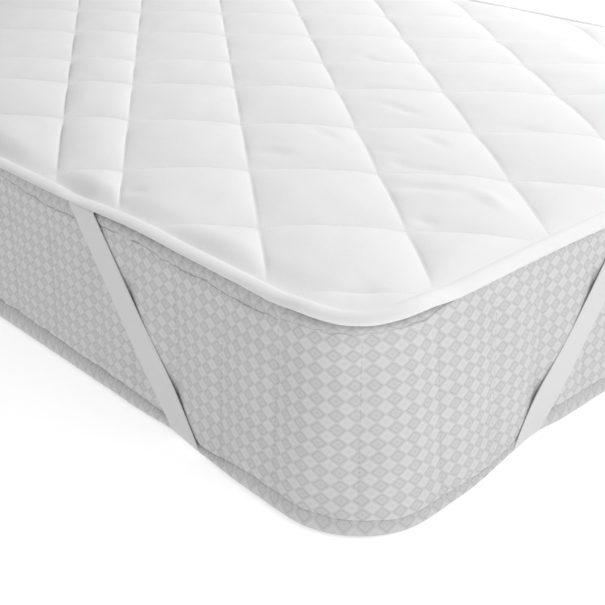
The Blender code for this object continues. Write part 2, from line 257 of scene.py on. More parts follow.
def near_values(outline, rows, elsewhere=0.0):
    """Values along a table of (reach, value) rows at the near corner, and one elsewhere."""
    return np.where(outline.corner == 0, np.interp(outline.reach, *np.array(rows).T), elsewhere)


class Outline:
    """The rounded outline of the mattress top at given places along it.

    Places run anticlockwise from the middle of the -X side. A reach is the distance along
    the outline from the middle of the corner that a place belongs to.
    """

    def __init__(self, places):
        self.places = np.asarray(places, float)
        wrapped = self.places % PERIMETER
        ends = [middle + half_side(row, False) for middle, row in zip(CORNER_MIDDLES, CORNERS)]
        self.corner = np.searchsorted(ends[:-1], wrapped, side="right")
        self.reach = wrapped - np.array(CORNER_MIDDLES)[self.corner]
        sides = np.array([row[1:3] for row in CORNERS], float)[self.corner]
        on_arc = np.clip(self.reach, -ARC_HALF, ARC_HALF)
        angle = np.arctan2(sides[:, 1], sides[:, 0]) + on_arc / CORNER_RADIUS
        self.normal = np.column_stack([np.cos(angle), np.sin(angle)])
        self.along = np.column_stack([-self.normal[:, 1], self.normal[:, 0]])
        middle = sides * (HALF_WIDTH - CORNER_RADIUS, HALF_LENGTH - CORNER_RADIUS)
        self.base = (middle + self.normal * CORNER_RADIUS
                     + self.along * (self.reach - on_arc)[:, None])

    def plan(self, outward):
        """Plan points moved outward by one value a place, or by a row of values a place."""
        shape = (len(self.places), *[1] * (outward.ndim - 1), 2)
        return self.base.reshape(shape) + self.normal.reshape(shape) * outward[..., None]

    def bulge(self):
        """How far the bottom edge stands out."""
        before, after = np.array([row[3:5] for row in CORNERS]).T[:, self.corner]
        turn = np.clip(self.reach / ARC_HALF, -1.0, 1.0)
        size = (before + after) / 2 + (after - before) / 2 * turn
        return size * curve(BULGE_FADE, np.abs(self.reach))

    def lift(self):
        """How far the bound edge rides up."""
        lift = np.zeros(len(self.places))
        for name, centre, half_length, size in EDGE_LIFTS:
            here = self.corner == corner_number(name)
            lift += here * size * smooth(1.0 - np.abs(self.reach - centre) / half_length)
        return lift

    def side_points(self, outward, height):
        """Points on the mattress side, leaning out with the bottom edge."""
        spread = (BOTTOM_SPREAD + self.bulge())[:, None] * (1.0 - height / MATTRESS_TOP)
        return np.concatenate([self.plan(outward + spread), height[..., None]], axis=2)


def even_places(step):
    """Even places all round the outline, about a step apart."""
    return np.arange(round(PERIMETER / step)) * PERIMETER / round(PERIMETER / step)


# ---------------------------------------------------------------- making meshes
def new_object(name, mesh, materials):
    for material in materials:
        mesh.materials.append(material)
    piece = bpy.data.objects.new(name, mesh)
    bpy.context.scene.collection.objects.link(piece)
    return piece


def new_mesh(name, points, faces, mapped=None):
    """A smooth mesh, with a cloth map of one value a face corner."""
    mesh = bpy.data.meshes.new(name)
    mesh.from_pydata(np.reshape(points, (-1, 3)).tolist(), [], faces)
    if mapped is not None:
        layer = mesh.uv_layers.new(name="cloth")
        layer.uv.foreach_set("vector", np.asarray(mapped, np.float32).ravel())
    mesh.shade_smooth()
    return mesh


def grid(rows, columns, wrap_rows, wrap_columns, flip=False):
    """Quads of a grid of points numbered row by row: the numbers of their corners, and the
    rows and columns of these, which run on past the last where the grid wraps."""
    row, column = np.meshgrid(np.arange(rows if wrap_rows else rows - 1),
                              np.arange(columns if wrap_columns else columns - 1),
                              indexing="ij")
    row = np.stack([row, row + 1, row + 1, row], axis=2).reshape(-1, 4)
    column = np.stack([column, column, column + 1, column + 1], axis=2).reshape(-1, 4)
    if flip:
        row, column = row[:, ::-1], column[:, ::-1]
    return row % rows * columns + column % columns, (row, column)


def plain_map(across, up):
    """Map values of a grid from one value a row and one value a column."""
    return np.stack(np.meshgrid(across, up, indexing="ij"), axis=2)


def loft(name, points, materials, wrap_columns, values, caps=()):
    """A surface through rings of points that closes round the outline.

    points has one row a place and one column a point of the section, and values is its map,
    with one more row or column where they wrap. caps lists the columns whose rings are
    closed with a face.
    """
    rows, columns = points.shape[:2]
    faces, corners = grid(rows, columns, True, wrap_columns, flip=True)
    ends = []
    for column, upward in caps:
        ring = [row * columns + column for row in range(rows)]
        ends.append(ring if upward else ring[::-1])
    mapped = np.vstack([values[corners].reshape(-1, 2)]
                       + [points.reshape(-1, 3)[ring][:, :2] for ring in ends])
    mesh = new_mesh(name, points, faces.tolist() + ends, mapped)
    for face in mesh.polygons[len(faces):]:
        face.use_smooth = False
        face.material_index = len(materials) - 1
    return new_object(name, mesh, materials)


# ---------------------------------------------------------------- materials
CLOTH_SHINE, SHEEN_ROUGHNESS = 0.25, 0.5


class Nodes:
    """A short way to write a material's nodes."""

    def __init__(self, name):
        self.material = bpy.data.materials.new(name)
        self.material.use_nodes = True
        self.tree = self.material.node_tree
        self.shader = self.tree.nodes["Principled BSDF"]

    def add(self, kind, inputs=(), **settings):
        node = self.tree.nodes.new(kind)
        for key, value in settings.items():
            setattr(node, key, value)
        for key, value in dict(inputs).items():
            self.feed(node.inputs[key], value)
        return node

    def feed(self, socket, value):
        if isinstance(value, bpy.types.NodeSocket):
            self.tree.links.new(value, socket)
        elif isinstance(value, bpy.types.Node):
            self.tree.links.new(value.outputs[0], socket)
        else:
            socket.default_value = value

    def math(self, operation, first, second=0.0, third=0.0, clamp=False):
        node = self.add("ShaderNodeMath", operation=operation, use_clamp=clamp)
        for socket, value in zip(node.inputs, (first, second, third)):
            self.feed(socket, value)
        return node.outputs[0]

    def mix(self, share, first, second):
        node = self.add("ShaderNodeMix", data_type="RGBA")
        self.feed(node.inputs["Factor"], share)
        self.feed(node.inputs["A"], first)
        self.feed(node.inputs["B"], second)
        return node.outputs["Result"]

    def cloth_map(self):
        """The two directions of the cloth map, in its own units."""
        split = self.add("ShaderNodeSeparateXYZ", {"Vector": self.add("ShaderNodeUVMap",
                                                                      uv_map="cloth")})
        return split.outputs["X"], split.outputs["Y"]

    def scaled(self, value, by, plus=0.0):
        return self.math("MULTIPLY_ADD", value, by, plus)

    def blend(self, first, share, second):
        return self.scaled(first, share, self.math("MULTIPLY", second, 1.0 - share))

    def noise(self, name):
        place = self.add("ShaderNodeTexCoord").outputs["Object"]
        inputs = dict(zip(("Scale", "Detail", "Roughness"), NOISES[name]), Vector=place)
        return self.add("ShaderNodeTexNoise", inputs).outputs["Fac"]

    def ramp(self, share, rows):
        """Greys along a table of (share, grey) rows."""
        node = self.add("ShaderNodeValToRGB", {"Fac": share})
        stops = node.color_ramp.elements
        stops[0].position, stops[1].position = rows[0][0], rows[-1][0]
        stops[0].color, stops[1].color = grey(rows[0][1]), grey(rows[-1][1])
        for position, value in rows[1:-1]:
            stops.new(position).color = grey(value)
        return node.outputs["Color"]

    def wave(self, along, pitch):
        """A smooth wave from 0 to 1 along a length."""
        turn = self.math("MULTIPLY", along, 2 * math.pi / pitch)
        return self.scaled(self.math("SINE", turn), 0.5, 0.5)

    def finish(self, shade, dark, light, roughness, bumps, sheen=0.0):
        """Tint a shade between two greys, over bumps of (height, distance, strength)."""
        normal = None
        for height, distance, strength in bumps:
            inputs = {"Height": height, "Distance": distance, "Strength": strength}
            if normal is not None:
                inputs["Normal"] = normal
            normal = self.add("ShaderNodeBump", inputs).outputs[0]
        for socket, value in (("Base Color", self.mix(shade, grey(dark), grey(light))),
                              ("Roughness", roughness), ("Normal", normal),
                              ("Specular IOR Level", CLOTH_SHINE), ("Sheen Weight", sheen),
                              ("Sheen Roughness", SHEEN_ROUGHNESS)):
            self.feed(self.shader.inputs[socket], value)
        return self.material


def grey(value):
    return (value, value, value, 1.0)


# Noises of the cloths, each with its scale, detail and roughness.
NOISES = {
    "nap": (900.0, 2.0, 0.7), "nap slubs": (160.0, 2.0, 0.6), "nap weave": (2600.0, 1.0, 0.5),
    "nap patches": (14.0, 3.0, 0.5),
    "tape fibre": (1500.0, 2.0, 0.6), "tape patches": (25.0, 3.0, 0.5),
    "elastic fibre": (1800.0, 2.0, 0.6),
    "border fibre": (1300.0, 2.0, 0.7), "border patches": (30.0, 3.0, 0.5),
    "panel patches": (18.0, 3.0, 0.5),
    "thread fibre": (2500.0, 1.0, 0.5),
}
TWILL_PITCH, TICKING_PITCH = 0.00075, 0.0012
ELASTIC_RIB, ELASTIC_PICK, ELASTIC_SLANT = 0.0011, 0.0008, 0.35


def microfibre(name, dark, light):
    """White brushed cloth: a fine nap over a tight weave."""
    nodes = Nodes(name)
    nap, patches = nodes.noise("nap"), nodes.noise("nap patches")
    slubs, weave = nodes.noise("nap slubs"), nodes.noise("nap weave")
    return nodes.finish(nodes.blend(nap, 0.5, patches), dark, light,
                        nodes.scaled(nap, 0.12, 0.82),
                        ((slubs, 0.00040, 0.5), (nap, 0.00022, 0.5), (weave, 0.00008, 0.5)),
                        sheen=0.12)


def twill_tape(name, dark, light):
    """Folded tape in a fine slanted weave."""
    nodes = Nodes(name)
    across, up = nodes.cloth_map()
    rib = nodes.wave(nodes.math("ADD", across, up), TWILL_PITCH)
    fibre, patches = nodes.noise("tape fibre"), nodes.noise("tape patches")
    return nodes.finish(nodes.blend(rib, 0.25, patches), dark, light,
                        nodes.scaled(fibre, 0.1, 0.72),
                        ((rib, 0.00009, 0.7), (fibre, 0.00010, 0.6), (patches, 0.0015, 0.35)),
                        sheen=0.1)


def woven_elastic(name, dark, light):
    """Flat elastic: fine ribs along its length, crossed by the covering yarn."""
    nodes = Nodes(name)
    along, across = nodes.cloth_map()
    rib = nodes.wave(across, ELASTIC_RIB)
    pick = nodes.wave(nodes.scaled(across, ELASTIC_SLANT, along), ELASTIC_PICK)
    fibre = nodes.noise("elastic fibre")
    return nodes.finish(nodes.blend(rib, 0.4, fibre), dark, light,
                        nodes.scaled(fibre, 0.1, 0.62),
                        ((rib, 0.00007, 0.7), (pick, 0.00005, 0.7), (fibre, 0.00005, 0.5)),
                        sheen=0.05)


# Tones of the two lozenges of the border cloth, from the middle of a lozenge to its edge.
DARK_LOZENGE = (
    # radius, tone
    (0.00, 0.14), (0.12, 0.20), (0.22, 0.68), (0.33, 0.68), (0.40, 0.40), (0.45, 0.40),
    (0.52, 0.68), (0.62, 0.64), (0.71, 0.06), (0.81, 0.10), (0.90, 0.52),
)
LIGHT_LOZENGE = (
    (0.00, 0.50), (0.11, 0.56), (0.20, 0.92), (0.28, 0.90), (0.35, 0.66), (0.41, 0.68),
    (0.50, 0.95), (0.66, 0.96), (0.76, 0.86), (0.85, 0.64), (0.93, 0.54),
)
LOZENGE_WIDTH, LOZENGE_HEIGHT = 0.0142, 0.01204
THREADS_ACROSS, THREADS_UP = 23, 21
# How much the fibres and soft patches of the border cloth change its tone.
FIBRE_TONE, PATCH_TONE = 0.40, 0.30


def lozenge_jacquard(name, dark, light):
    """Pale jacquard: dark and light lozenges in turn, each in nested outlines.

    The cloth map counts lozenges across and up.
    """
    nodes = Nodes(name)
    across, up = nodes.cloth_map()

    def from_middle(length):
        turned = nodes.math("FRACT", nodes.math("ADD", length, 0.5))
        return nodes.math("ABSOLUTE", nodes.math("SUBTRACT", turned, 0.5))

    in_dark = nodes.math("ADD", from_middle(across), from_middle(up))
    is_light = nodes.math("GREATER_THAN", in_dark, 0.5)
    from_centre = nodes.math("MINIMUM", in_dark, nodes.math("SUBTRACT", 1.0, in_dark))
    radius = nodes.math("MULTIPLY", from_centre, 2.0)
    figure = nodes.mix(is_light, nodes.ramp(radius, DARK_LOZENGE),
                       nodes.ramp(radius, LIGHT_LOZENGE))
    fibre, patches = nodes.noise("border fibre"), nodes.noise("border patches")
    weave = nodes.math("MULTIPLY", nodes.wave(across, 1.0 / THREADS_ACROSS),
                       nodes.wave(up, 1.0 / THREADS_UP))
    tone = nodes.math("ADD", figure, nodes.scaled(fibre, FIBRE_TONE, -FIBRE_TONE / 2))
    tone = nodes.math("ADD", tone, nodes.scaled(patches, PATCH_TONE, -PATCH_TONE / 2), clamp=True)
    return nodes.finish(tone, dark, light, nodes.scaled(is_light, -0.12, 0.74),
                        ((figure, 0.00016, 0.8), (weave, 0.00008, 0.6), (fibre, 0.00012, 0.6)),
                        sheen=0.05)


def plain_ticking(name, dark, light):
    """The mattress's panels: a close plain weave."""
    nodes = Nodes(name)
    across, up = nodes.cloth_map()
    weave = nodes.math("MULTIPLY", *(nodes.wave(way, TICKING_PITCH) for way in (across, up)))
    patches = nodes.noise("panel patches")
    return nodes.finish(nodes.blend(weave, 0.4, patches), dark, light, 0.8,
                        ((weave, 0.00012, 0.7), (patches, 0.002, 0.3)))


def thread(name, dark, light):
    """Twisted sewing thread."""
    nodes = Nodes(name)
    fibre = nodes.noise("thread fibre")
    return nodes.finish(fibre, dark, light, 0.6, ((fibre, 0.00008, 1.0),))


PAD_CLOTH = microfibre("pad_cloth", 0.80, 0.84)
BINDING_TAPE = twill_tape("binding_tape", 0.83, 0.89)
STRAP_ELASTIC = woven_elastic("strap_elastic", 0.655, 0.735)
BORDER_CLOTH = lozenge_jacquard("border_cloth", 0.475, 0.680)
# The rolls' cloth is the border's jacquard made a little darker, most in its light tone. This is
# painted shade standing in for the shade under the binding's overhang, and both rolls carry it.
ROLL_CLOTH_WITH_PAINTED_SHADE = lozenge_jacquard("roll_cloth", 0.47, 0.64)
PANEL_CLOTH = plain_ticking("panel_cloth", 0.50, 0.60)
THREAD = thread("thread", 0.78, 0.86)
GREY_THREAD = thread("thread_grey", 0.46, 0.56)


# ---------------------------------------------------------------- quilting lines
def quilt_lines(family):
    """All lines of a family as rows of (place, slope, bend)."""
    lines = list(family["uneven"])
    lowest, highest = family["span"]
    while lines[0][0] > lowest:
        lines.insert(0, (lines[0][0] - family["spacing"], 0.0, 0.0))
    while lines[-1][0] < highest:
        lines.append((lines[-1][0] + family["spacing"], 0.0, 0.0))
    return np.array(lines)


def quilt_frame(family):
    """Unit vectors along and across a family's lines, in plan."""
    along = np.array((math.cos(family["angle"]), math.sin(family["angle"])))
    side = 1 if family["angle"] > 0 else -1
    return along, np.array((along[1], -along[0])) * side


NEAR_CORNER = np.array((-HALF_WIDTH, -HALF_LENGTH))
CROSSING_STEPS = 12


def line_place(rows, along):
    """How far across its family a line lies at a distance along it."""
    curved = (BEND_REACH * np.tanh(along / BEND_REACH)) ** 2
    return rows[..., 0] + rows[..., 1] * along + rows[..., 2] * curved


def in_family(family, points):
    """Each plan point's cell number, share across its cell, cell width and distance along."""
    along, across = quilt_frame(family)
    offset = points - NEAR_CORNER
    run = offset @ along
    lines = quilt_lines(family)
    places = line_place(lines[None], run[:, None])
    here = offset @ across
    cell = np.clip((places <= here[:, None]).sum(axis=1) - 1, 0, len(lines) - 2)
    rows = np.arange(len(points))
    low, high = places[rows, cell], places[rows, cell + 1]
    return cell, np.clip((here - low) / (high - low), 0.0, 1.0), high - low, run


def crossings(first, first_rows, second, second_rows):
    """Plan points where rows of lines of one family meet rows of the other."""
    along_1, across_1 = quilt_frame(first)
    along_2, across_2 = quilt_frame(second)
    inverse = np.linalg.inv(np.array((across_1, across_2)))
    shape = (len(first_rows), len(second_rows))
    offset = np.zeros((*shape, 2))
    for _ in range(CROSSING_STEPS):
        places = np.stack([
            np.broadcast_to(line_place(first_rows[:, None], offset @ along_1), shape),
            np.broadcast_to(line_place(second_rows[None], offset @ along_2), shape)], axis=2)
        offset = places @ inverse.T
    return NEAR_CORNER + offset


def seam_steps(count, crowding):
    """Shares from 0 to 1, crowded towards both ends where the seams are."""
    even = np.arange(count + 1) / count
    return even * (1 - crowding) + (0.5 - 0.5 * np.cos(math.pi * even)) * crowding


def inset_and_place(points):
    """How far plan points lie inside the outline, and the outline place nearest to each."""
    sides = np.where(points >= 0, 1, -1)
    middle = sides * (HALF_WIDTH - CORNER_RADIUS, HALF_LENGTH - CORNER_RADIUS)
    past = (points - middle) * sides
    in_corner = (past > 0).all(axis=1)
    inset = np.where(in_corner, CORNER_RADIUS - np.hypot(past[:, 0], past[:, 1]),
                     CORNER_RADIUS - past.max(axis=1))
    reach = np.where(past[:, 0] >= past[:, 1], past[:, 1] - ARC_HALF, ARC_HALF - past[:, 0])
    angle = np.arctan2(past[:, 1], past[:, 0]) - math.pi / 4
    reach = np.where(in_corner, angle * CORNER_RADIUS, reach) * sides[:, 0] * sides[:, 1]
    right = sides[:, 0] > 0
    corner = np.where(sides[:, 1] < 0, 1 * right, 3 - right)
    return inset, np.array(CORNER_MIDDLES)[corner] + reach


# ---------------------------------------------------------------- the pressed edge
# How far the binding is pressed flatter, by reach from the near corner.
BINDING_PRESS = ((-0.90, 0.60), (-0.20, 0.60), (-0.08, 0.44), (0.01, 0.12), (0.30, 0.00))
USUAL_PRESS = 0.10
BINDING_BASE = 0.1823
STRAP_PRESS, STRAP_PRESS_REACH = 0.16, 0.022


def strap_press(outline):
    """How far the straps squeeze the binding, from 0 to 1."""
    press = np.zeros(len(outline.places))
    for name, tip_before, _, tip_after, _ in STRAPS:
        for tip in (-tip_before, tip_after):
            press += ((outline.corner == corner_number(name))
                      * np.exp(-((outline.reach - tip) / STRAP_PRESS_REACH) ** 2))
    return press


def binding_press(outline):
    """How far the binding is pressed flatter, as a share of its height."""
    return (near_values(outline, BINDING_PRESS, USUAL_PRESS)
            + STRAP_PRESS * strap_press(outline))


# ---------------------------------------------------------------- the quilted pad
PAD_VALLEY = 0.0024
PAD_DOME, PAD_DOME_LENGTH = 0.0040, 0.13
# Each diamond's crown, and by family how far it leans and how steeply it rises.
PAD_PUFF, PUFF_SKEWS, PUFF_POWERS = 0.0071, (0.97, 1.22), (0.60, 0.50)
# How much fuller some diamonds are than others, and how that varies by family.
FULLNESS, FULLNESS_TURNS = 0.10, (2.4, 5.1)
SEAM_RISE, SEAM_RISE_POWER = 0.0014, 0.9
# The cloth is drawn deeper along the first family, on the near side of each crossing.
DRAWN_DEPTH, DRAWN_REACH, DRAWN_PLACE = 0.0013, 0.010, 0.010
PAD_RIM_INSET = 0.0095
PAD_HIDDEN_INSET = 0.0040
PAD_RIM_RISE = 0.0052
PAD_REBATE_INSET = 0.0105
PAD_REBATE_HEIGHT = 0.1838
PAD_RISE_LENGTH, PRESSED_RISE = 0.038, 0.55
LIFT_FADE_LENGTH = 0.060
# Puckers run straight out from a seam, and differ from one seam to the next.
PUCKER_REACH, PUCKER_STRETCH, PUCKER_SHIFT = 0.0075, 0.25, 0.1
# How soon lumps and puckers grow with the crown, so that none lifts a seam.
LUMP_GROWTH, PUCKER_GROWTH = 2.5, 4.0
WRINKLE_SWAY, WRINKLE_TURN = 0.0020, 4.0
NEAR_STEPS, FAR_STEPS, CROWDING = 32, 14, 0.62
FINE_REACH = 0.75
ARC_CUTS, CORNER_REACH, CUT_TOLERANCE = 24, CORNER_RADIUS * 1.8, 1e-6


def quarter_wave(share):
    """Rise from 0 to 1, steep at first and level at the end."""
    return np.sin(math.pi / 2 * np.clip(share, 0.0, 1.0))


def wrinkle_depth(points):
    """How far the listed wrinkles lower the pad's cloth."""
    depth = np.zeros(len(points))
    for x, y, to_x, to_y, size, half_width in WRINKLES:
        start = np.array((x, y))
        run = np.array((to_x, to_y)) - start
        length = np.hypot(*run)
        offset = points - start
        share = offset @ run / length ** 2
        away = (offset[:, 0] * run[1] - offset[:, 1] * run[0]) / length
        away = away + WRINKLE_SWAY * np.sin(share * WRINKLE_TURN)
        ends = smooth(share / 0.5) * smooth((1.0 - share) / 0.5)
        depth += size * ends * np.exp(-(away / half_width) ** 2)
    return depth


def pad_height(points):
    """Top of the pad at plan points."""
    crown = np.ones(len(points))
    seam_rise = np.zeros(len(points))
    pucker = np.zeros(len(points))
    cells = []
    for number, family in enumerate(QUILT_FAMILIES):
        cell, share, width, run = in_family(family, points)
        skewed = share ** PUFF_SKEWS[number]
        crown *= np.maximum(4 * skewed * (1 - skewed), 0.0) ** PUFF_POWERS[number]
        seam_rise += SEAM_RISE * np.sin(math.pi * share) ** SEAM_RISE_POWER
        from_line = np.minimum(share, 1 - share) * width
        line = cell + (share > 0.5)
        pulled = uneven("pad pucker", np.column_stack([run, from_line * PUCKER_STRETCH,
                                                       line * PUCKER_SHIFT]), number)
        pucker += pulled * np.exp(-from_line / PUCKER_REACH)
        cells.append(cell)
        if number == 0:
            drawn = DRAWN_DEPTH * np.exp(-(from_line / DRAWN_REACH) ** 2)
        else:
            before = (1 - share) * width / DRAWN_PLACE
            drawn *= before * np.exp(1 - before)
    inset, place = inset_and_place(points)
    flat = np.column_stack([points, np.zeros(len(points))])
    fullness = 1.0 + FULLNESS * np.sin(cells[0] * FULLNESS_TURNS[0] + cells[1] * FULLNESS_TURNS[1])
    field = (PAD_BASE + PAD_VALLEY
             + PAD_DOME * quarter_wave((inset - PAD_RIM_INSET) / PAD_DOME_LENGTH)
             + PAD_PUFF * crown * fullness + seam_rise - drawn
             + ((uneven("pad", flat) - wrinkle_depth(points))
                * np.minimum(crown * LUMP_GROWTH, 1.0))
             + pucker * np.minimum(crown * PUCKER_GROWTH, 1.0))
    outline = Outline(place)
    press = binding_press(outline)
    rise = quarter_wave((inset - PAD_RIM_INSET)
                        / (PAD_RISE_LENGTH * (1.0 - PRESSED_RISE * press)))
    fade = 1.0 - smooth((inset - PAD_RIM_INSET) / LIFT_FADE_LENGTH)
    rim = BINDING_BASE + PAD_RIM_RISE * (1.0 - press)
    return rim + (field - rim) * rise + outline.lift() * fade


def clip_to_outline(mesh_data, inset):
    """Cut away what lies outside the outline moved in by an inset."""
    def cut(point, normal, near=None):
        faces = [face for face in mesh_data.faces if near is None
                 or (face.verts[0].co.xy - near).length < CORNER_REACH]
        # Dicts keep their order, so that every run makes the same mesh.
        verts = dict.fromkeys(vert for face in faces for vert in face.verts)
        edges = dict.fromkeys(edge for face in faces for edge in face.edges)
        bmesh.ops.bisect_plane(mesh_data, geom=[*verts, *edges, *faces], dist=CUT_TOLERANCE,
                               plane_co=point.to_3d(), plane_no=normal.to_3d(),
                               clear_outer=True)

    for x, y in ((1, 0), (-1, 0), (0, 1), (0, -1)):
        cut(Vector((x * (HALF_WIDTH - inset), y * (HALF_LENGTH - inset))), Vector((x, y)))
    for _, x_side, y_side, _, _ in CORNERS:
        middle = Vector((x_side * (HALF_WIDTH - CORNER_RADIUS),
                         y_side * (HALF_LENGTH - CORNER_RADIUS)))
        for step in range(ARC_CUTS):
            turn = (step + 0.5) / ARC_CUTS * math.pi / 2
            normal = Vector((x_side * math.cos(turn), y_side * math.sin(turn)))
            cut(middle + normal * (CORNER_RADIUS - inset), normal, middle)


def close_below(mesh_data, rings):
    """Walk the open rim, add rings of (inset, height, lifted) under it, and close the last."""
    rim_edges = [edge for edge in mesh_data.edges if edge.is_boundary]
    start = rim_edges[0].verts[0]
    walk, before, vert = [start], None, start
    while True:
        ahead = [edge.other_vert(vert) for edge in vert.link_edges if edge.is_boundary]
        following = next(other for other in ahead if other is not before)
        if following is start:
            break
        walk.append(following)
        before, vert = vert, following
    plan = np.array([vert.co.xy[:] for vert in walk])
    if np.sum(plan[:, 0] * np.roll(plan[:, 1], -1) - np.roll(plan[:, 0], -1) * plan[:, 1]) < 0:
        walk.reverse()
        plan = plan[::-1]
    _, place = inset_and_place(plan)
    outline = Outline(place)
    above = walk
    for inset, height, lifted in rings:
        xy = outline.plan(np.full(len(walk), -inset))
        level = height + (outline.lift() if lifted else 0.0) + np.zeros(len(walk))
        ring = [mesh_data.verts.new((*point, z)) for point, z in zip(xy, level)]
        for index in range(len(walk)):
            after = (index + 1) % len(walk)
            mesh_data.faces.new((above[after], above[index], ring[index], ring[after]))
        above = ring
    mesh_data.faces.new(above[::-1])


def make_pad():
    """The pad: crowned diamonds between the quilting lines, over a flat underside."""
    first, second = QUILT_FAMILIES

    def refined(rows, steps):
        """Lines refined by shares of each span between two of them."""
        pieces = [low + (high - low) * shares[:-1, None]
                  for low, high, shares in zip(rows[:-1], rows[1:], steps)]
        return np.concatenate([*pieces, rows[-1:]])

    first_lines, second_lines = quilt_lines(first), quilt_lines(second)
    fine, coarse = seam_steps(NEAR_STEPS, CROWDING), seam_steps(FAR_STEPS, CROWDING)
    field = crossings(first, refined(first_lines, [fine] * (len(first_lines) - 1)),
                      second, refined(second_lines, [fine if row[0] < FINE_REACH else coarse
                                                     for row in second_lines[:-1]]))
    rows, columns = field.shape[:2]
    faces, _ = grid(rows, columns, False, False)
    plan = field.reshape(-1, 2)
    inset, _ = inset_and_place(plan)
    faces = faces[(inset[faces] > PAD_HIDDEN_INSET).any(axis=1)]
    used, renumbered = np.unique(faces, return_inverse=True)
    mesh = new_mesh("quilted_top", np.column_stack([plan[used], np.zeros(len(used))]),
                    renumbered.reshape(-1, 4).tolist())
    mesh_data = bmesh.new()
    mesh_data.from_mesh(mesh)
    bpy.data.meshes.remove(mesh)
    clip_to_outline(mesh_data, PAD_HIDDEN_INSET)
    for face in mesh_data.faces:
        if face.normal.z < 0:
            face.normal_flip()
    heights = pad_height(np.array([vert.co.xy[:] for vert in mesh_data.verts]))
    for vert, height in zip(mesh_data.verts, heights):
        vert.co.z = height
    close_below(mesh_data, ((PAD_HIDDEN_INSET, PAD_REBATE_HEIGHT, True),
                            (PAD_REBATE_INSET, PAD_REBATE_HEIGHT, True),
                            (PAD_REBATE_INSET, PAD_BASE, False)))
    mesh = bpy.data.meshes.new("pad_quilted")
    mesh_data.to_mesh(mesh)
    mesh_data.free()
    mesh.shade_smooth()
    return new_object("pad_quilted", mesh, [PAD_CLOTH])


# ---------------------------------------------------------------- the binding
BINDING_STITCH = 0.0036
BINDING_STEPS = 3
BINDING_SECTION = (
    # outward, height, share of a stitch's tug
    (-0.0080, 0.1829, 0.0), (0.0004, 0.1819, 0.0), (0.0030, 0.1817, 0.0), (0.0044, 0.1821, 0.0),
    (0.0046, 0.1831, 0.0), (0.0039, 0.1848, 0.0), (0.0027, 0.1868, 0.0), (0.0008, 0.1886, 0.0),
    (-0.0018, 0.1898, 0.0), (-0.0046, 0.1902, 0.0), (-0.0074, 0.1894, 0.1),
    (-0.0095, 0.1876, 0.8), (-0.0099, 0.1858, 1.0), (-0.0085, 0.1858, 0.3),
    (-0.0062, 0.1880, 0.0), (-0.0020, 0.1885, 0.0), (0.0006, 0.1871, 0.0), (0.0022, 0.1852, 0.0),
    (0.0012, 0.1836, 0.0), (-0.0080, 0.1836, 0.0),
)
BINDING_TUG, BINDING_TUG_SHARE = 0.00050, 0.7
# How much of a tug, and of the binding's sway, goes down or up.
TUG_DOWN, SWAY_UP = 0.6, 0.5


def binding_points(places, sections):
    """Points of the binding at places, for rows of (outward, height, share of the tug)."""
    outline = Outline(places)
    outward, height, tugged = np.array(sections).T
    steps = np.round(np.asarray(places) / (BINDING_STITCH / BINDING_STEPS)).astype(int)
    tug = (steps % BINDING_STEPS == 0) * BINDING_TUG
    tug = tug * (BINDING_TUG_SHARE + uneven_along("binding tug", places))
    sway = uneven_along("binding sway", places)
    out = outward + (sway + uneven_along("binding swell", places))[:, None] + tug[:, None] * tugged
    level = (BINDING_BASE + (height - BINDING_BASE) * (1.0 - binding_press(outline))[:, None]
             + (outline.lift() + sway * SWAY_UP)[:, None] - (tug * TUG_DOWN)[:, None] * tugged)
    return np.concatenate([outline.plan(out), level[..., None]], axis=2)


def make_binding():
    """The tape folded round the pad's edge, its inner edge drawn in by each stitch."""
    places = even_places(BINDING_STITCH / BINDING_STEPS)
    around = path_lengths(np.array([*BINDING_SECTION, BINDING_SECTION[0]])[:, :2])
    return loft("binding_folded", binding_points(places, BINDING_SECTION), [BINDING_TAPE], True,
                plain_map(np.append(places, PERIMETER), around))


# ---------------------------------------------------------------- the mattress
TOP_SEAM_HEIGHTS = (
    # reach from the near corner, height
    (-0.472, 0.1694), (-0.445, 0.1675), (-0.422, 0.1647), (-0.403, 0.1629), (-0.375, 0.1631),
    (-0.300, 0.1688), (-0.223, 0.1694), (-0.204, 0.1669), (-0.187, 0.1662), (-0.151, 0.1675),
    (-0.133, 0.1661), (-0.103, 0.1649), (-0.086, 0.1658), (-0.072, 0.1673), (-0.045, 0.1714),
    (0.000, 0.1719), (0.030, 0.1741), (0.047, 0.1738), (0.060, 0.1730), (0.072, 0.1766),
    (0.090, 0.1786), (0.250, 0.1788), (0.400, 0.1788),
)
BOTTOM_SEAM_HEIGHTS = (
    (-0.499, 0.0251), (-0.460, 0.0251), (-0.403, 0.0235), (-0.350, 0.0216), (-0.300, 0.0205),
    (-0.258, 0.0189), (-0.200, 0.0130), (-0.169, 0.0098), (-0.143, 0.0122), (-0.108, 0.0190),
    (-0.070, 0.0199), (-0.038, 0.0192), (-0.009, 0.0180), (0.016, 0.0168), (0.030, 0.0156),
    (0.046, 0.0158), (0.064, 0.0160), (0.100, 0.0142), (0.137, 0.0118), (0.166, 0.0120),
    (0.200, 0.0170), (0.236, 0.0210), (0.316, 0.0210),
)
USUAL_TOP_SEAM, USUAL_BOTTOM_SEAM, SEAM_FADE = 0.1690, 0.0182, 0.12


def seam_height(outline, name, usual, rows):
    """Height of a seam round the mattress, uneven, and along a table at the near corner."""
    height = usual + uneven_along(name, outline.places)
    table = curve(rows, np.clip(outline.reach, rows[0][0], rows[-1][0]))
    inside = (smooth((outline.reach - rows[0][0]) / SEAM_FADE + 1.0)
              * smooth((rows[-1][0] - outline.reach) / SEAM_FADE + 1.0))
    return height + (table - height) * inside * (outline.corner == 0)


def seam_under_top_roll(outline):
    ragged = np.minimum(seam_depth(outline, TOP_SEAM_DEPTHS) / RAGGED_DEPTH, 1.0)
    return (seam_height(outline, "top seam", USUAL_TOP_SEAM, TOP_SEAM_HEIGHTS)
            + uneven_along("gathers", outline.places) * ragged)


